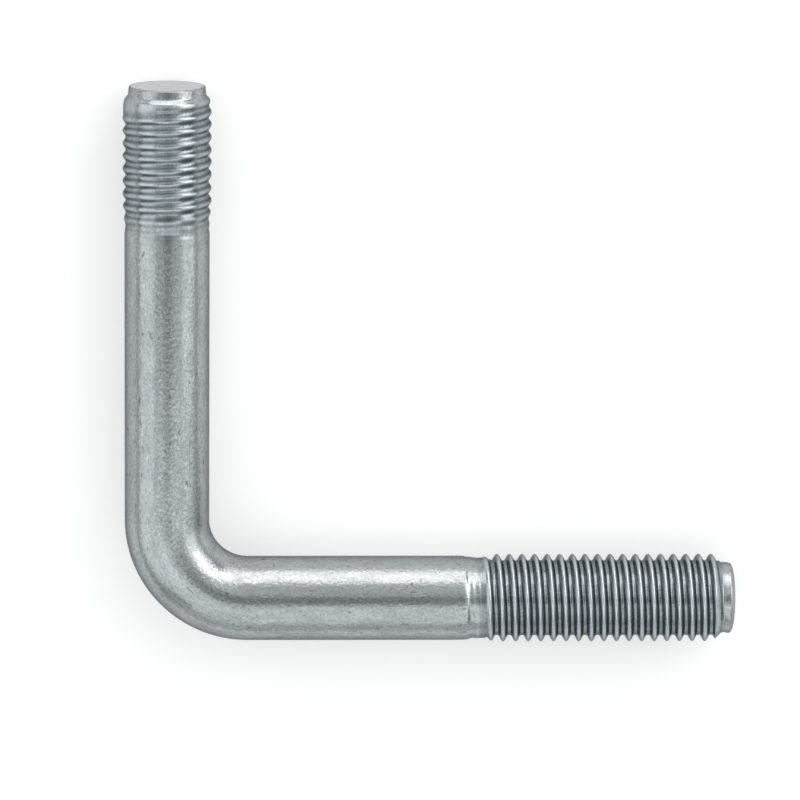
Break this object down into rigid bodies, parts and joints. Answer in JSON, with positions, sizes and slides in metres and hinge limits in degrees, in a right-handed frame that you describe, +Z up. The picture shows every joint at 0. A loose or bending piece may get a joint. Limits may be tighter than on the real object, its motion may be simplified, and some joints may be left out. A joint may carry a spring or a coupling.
{
  "type": "l-shaped anchor bolt",
  "caption": "Round zinc-coated steel bar bent to a right angle and threaded at both ends, cast or built in to hold something down with a nut.",
  "frame": {"origin": "centre of the bolt's box, on the surface that it lies on", "axes": "+X along the long leg towards its end, +Y along the short leg towards its end, +Z up out of the plane of the bend"},
  "size_m": [0.0848, 0.0776, 0.0122],
  "materials": {
    "zinc_steel": "dull mottled zinc coat"
  },
  "bodies": {
    "root": {"anchor_bolt": "zinc_steel"}
  },
  "joints": []
}
